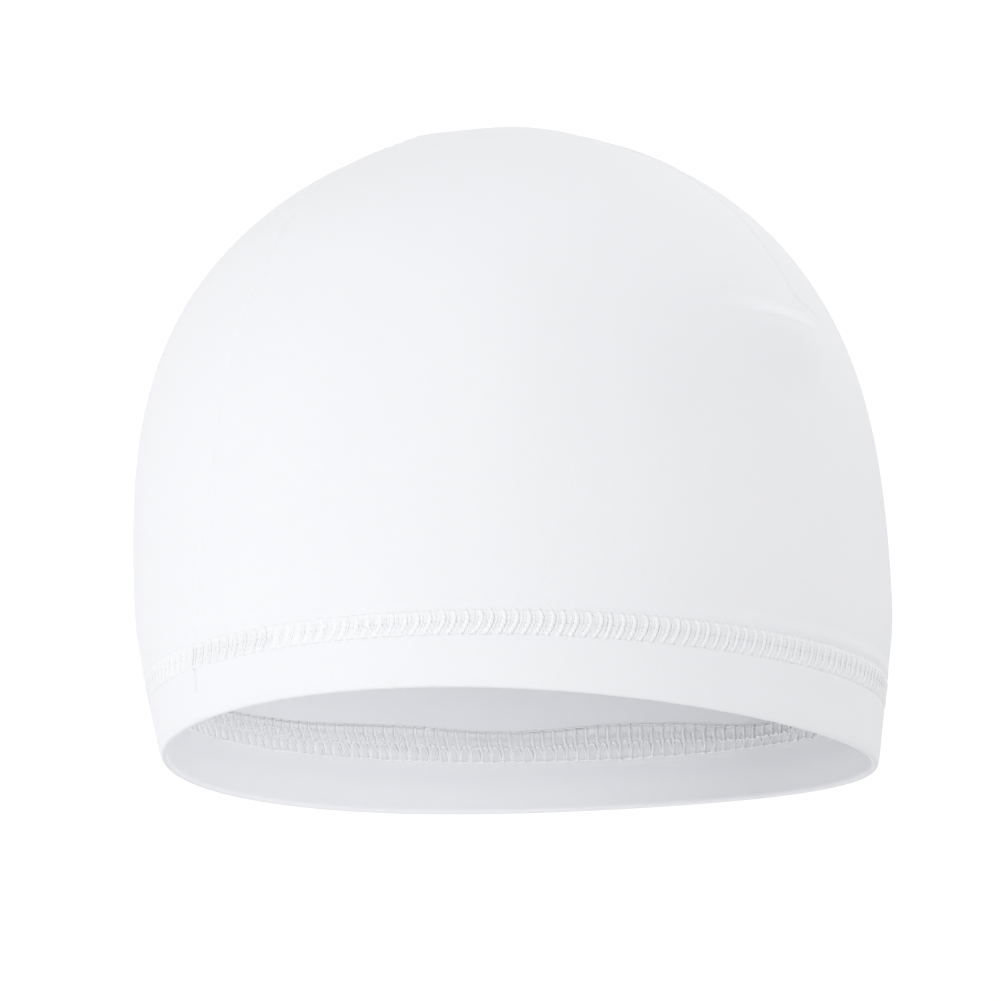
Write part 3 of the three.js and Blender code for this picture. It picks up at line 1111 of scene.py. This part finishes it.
def overcast_thread(seam, share, across, inset):
    """Tubes of the overcast thread, along paths beside a seam."""
    out = -outward(seam["azimuth"], share)
    return strands(in_seam(seam, share, across, inset), out, OVERCAST["width"], OVERCAST["thickness"], 5)


def overcast_loops(seam):
    """Loops of thread that slant over the strip's face, go round its free edge and end behind it."""
    count = round((seam["end"] - seam["start"]) * CLOTH_RUN / OVERCAST["pitch"])
    way = np.linspace(0.0, 1.0, 12)[None, :]
    middle = seam["start"] + (np.arange(count) + 0.5)[:, None] / count * (seam["end"] - seam["start"])
    share = np.clip(middle + (way - 0.5) * OVERCAST["pitch"] / CLOTH_RUN, seam["start"], seam["end"])
    over = ALLOWANCE["width"] + LOOP_TURN["past"] - LOOP_START
    across = LOOP_START + over * np.minimum(way / LOOP_TURN["flat_until"], 1.0)
    face = ALLOWANCE["near"] + ALLOWANCE["thickness"] + LOOP_OVER
    inset = face - (ALLOWANCE["thickness"] + LOOP_TURN["behind"]) * rising(way, *LOOP_TURN["down"])
    return overcast_thread(seam, share, across, inset)


def overcast_edge(seam):
    """Two threads, along the seam line and along the free edge. Each is wavy with the loops that cross it,
    as a sine of the run down the seam."""
    share = np.linspace(seam["start"], seam["end"], 180)[None, :]
    wave = OVERCAST["wave"] * np.sin(share * CLOTH_RUN / OVERCAST["pitch"] * 2.0 * math.pi)
    inset = ALLOWANCE["near"] + ALLOWANCE["thickness"] + EDGE_THREAD_OVER
    return [overcast_thread(seam, share, across + wave, inset) for across in EDGE_THREADS]


for name, seam in SEAMS.items():
    strip = add_piece(f"{name}_bound_edge", [allowance_strip(seam)], WHITE_JERSEY)
    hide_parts(f"{name}_allowance")
    add_piece(
        f"{name}_overcast_thread",
        [overcast_loops(seam), *overcast_edge(seam)],
        COVER_THREAD,
    )

# The floor, the light and the view.
# The cap is held up as on a head, over a plain pale floor and before a white ground. The light is soft,
# from the camera's left. The camera looks up a little, past the near rim and into the hollow.

IMAGE = 1001
VIEW = {"azimuth": 235.77, "elevation": -13.78, "roll": 2.17, "distance": 1.324, "focal_px": 5395.0}
TARGET = np.array([0.0, 0.0, -0.076])
TARGET_PIXEL = (519.1, 440.2)
SENSOR = 36.0

azimuth, elevation, roll = (math.radians(VIEW[name]) for name in ("azimuth", "elevation", "roll"))
to_camera = np.array([
    math.sin(azimuth) * math.cos(elevation),
    -math.cos(azimuth) * math.cos(elevation),
    math.sin(elevation),
])
level_right = np.array([math.cos(azimuth), math.sin(azimuth), 0.0])
level_up = np.cross(to_camera, level_right)
view_right = math.cos(roll) * level_right - math.sin(roll) * level_up
view_up = math.sin(roll) * level_right + math.cos(roll) * level_up

camera_data = bpy.data.cameras.new("view")
camera_data.sensor_width = SENSOR
camera_data.lens = VIEW["focal_px"] * SENSOR / IMAGE
camera_data.shift_x = (IMAGE / 2.0 - TARGET_PIXEL[0]) / IMAGE
camera_data.shift_y = (TARGET_PIXEL[1] - IMAGE / 2.0) / IMAGE
camera_data.clip_start = 0.05
camera_data.clip_end = 20.0
camera = bpy.data.objects.new("view", camera_data)
camera_axes = np.eye(4)
camera_axes[:3, :3] = np.stack([view_right, view_up, to_camera], axis=1)
camera_axes[:3, 3] = TARGET + to_camera * VIEW["distance"]
camera.matrix_world = Matrix(camera_axes)
bpy.context.scene.collection.objects.link(camera)
bpy.context.scene.camera = camera

FLOOR_DEPTH = -0.45
FLOOR_HALF = 4.0

floor_mesh = bpy.data.meshes.new("floor")
floor_corners = [(-1, -1), (1, -1), (1, 1), (-1, 1)]
floor_points = [(x * FLOOR_HALF, y * FLOOR_HALF, FLOOR_DEPTH) for x, y in floor_corners]
floor_mesh.from_pydata(floor_points, [], [(0, 1, 2, 3)])
floor = bpy.data.objects.new("floor", floor_mesh)
bpy.context.scene.collection.objects.link(floor)


def floor_material():
    """Pale matte paint with a faint drift of tone."""
    material, tree, shader = new_material("pale floor", 0.9, 0.0)
    drift = tree.nodes.new("ShaderNodeTexNoise")
    drift.inputs["Scale"].default_value = 1.5
    ramp = tree.nodes.new("ShaderNodeValToRGB")
    ramp.color_ramp.elements[0].color = (0.8, 0.8, 0.8, 1.0)
    ramp.color_ramp.elements[1].color = (0.84, 0.84, 0.84, 1.0)
    place = tree.nodes.new("ShaderNodeTexCoord")
    tree.links.new(place.outputs["Object"], drift.inputs["Vector"])
    tree.links.new(drift.outputs["Fac"], ramp.inputs["Fac"])
    tree.links.new(ramp.outputs["Color"], shader.inputs["Base Color"])
    return material


floor_mesh.materials.append(floor_material())

# Soft light: the white ground lights the cap from all round, and large panels add to it, most of all from
# the left. A small one in the mouth of the hollow lights its far side. Places and aims lie left, towards
# the camera and up from the target, in metres, and powers are in watts.
GROUND_SEEN = 1.05
GROUND_LIGHT = 0.686
LARGE_PANEL = {"size": 0.8, "aim": (0.0, 0.0, 0.0)}
PANELS = {
    "left panel": {"place": (0.95, 0.75, -0.17), "power": 4.15, **LARGE_PANEL},
    "front panel": {"place": (-0.2, 1.15, -0.1), "power": 2.85, **LARGE_PANEL},
    "right rear panel": {"place": (-0.9, -0.55, 0.7), "power": 3.0, **LARGE_PANEL},
    "left rear panel": {"place": (0.9, -0.5, 0.1), "power": 1.76, **LARGE_PANEL},
    "high panel": {"place": (-0.3, 0.0, 1.2), "power": 2.24, **LARGE_PANEL},
    "inner panel": {
        "place": (-0.01, 0.02, -0.07),
        "power": 0.0265,
        "size": 0.05,
        "aim": (0.075, -0.03, -0.058),
    },
}

world = bpy.data.worlds.new("white ground")
world.use_nodes = True
bpy.context.scene.world = world
ground = world.node_tree.nodes["Background"]
seen = world.node_tree.nodes.new("ShaderNodeLightPath")
strength = world.node_tree.nodes.new("ShaderNodeMapRange")
strength.inputs["To Min"].default_value = GROUND_LIGHT
strength.inputs["To Max"].default_value = GROUND_SEEN
world.node_tree.links.new(seen.outputs["Is Camera Ray"], strength.inputs["Value"])
world.node_tree.links.new(strength.outputs["Result"], ground.inputs["Strength"])
ground.inputs["Color"].default_value = (1.0, 1.0, 1.0, 1.0)

studio_axes = np.stack([-level_right, [to_camera[0], to_camera[1], 0.0], [0.0, 0.0, 1.0]], axis=1)
for name, panel in PANELS.items():
    panel_data = bpy.data.lights.new(name, "AREA")
    panel_data.size = panel["size"]
    panel_data.energy = panel["power"]
    lamp = bpy.data.objects.new(name, panel_data)
    place = TARGET + studio_axes @ panel["place"]
    aim = TARGET + studio_axes @ panel["aim"]
    facing = (place - aim) / np.linalg.norm(place - aim)
    lamp_side = np.cross(level_right, facing)
    lamp_side = lamp_side / np.linalg.norm(lamp_side)
    lamp_axes = np.eye(4)
    lamp_axes[:3, :3] = np.stack([np.cross(lamp_side, facing), lamp_side, facing], axis=1)
    lamp_axes[:3, 3] = place
    lamp.matrix_world = Matrix(lamp_axes)
    lamp.visible_camera = False
    bpy.context.scene.collection.objects.link(lamp)

bpy.context.scene.view_settings.view_transform = "Standard"
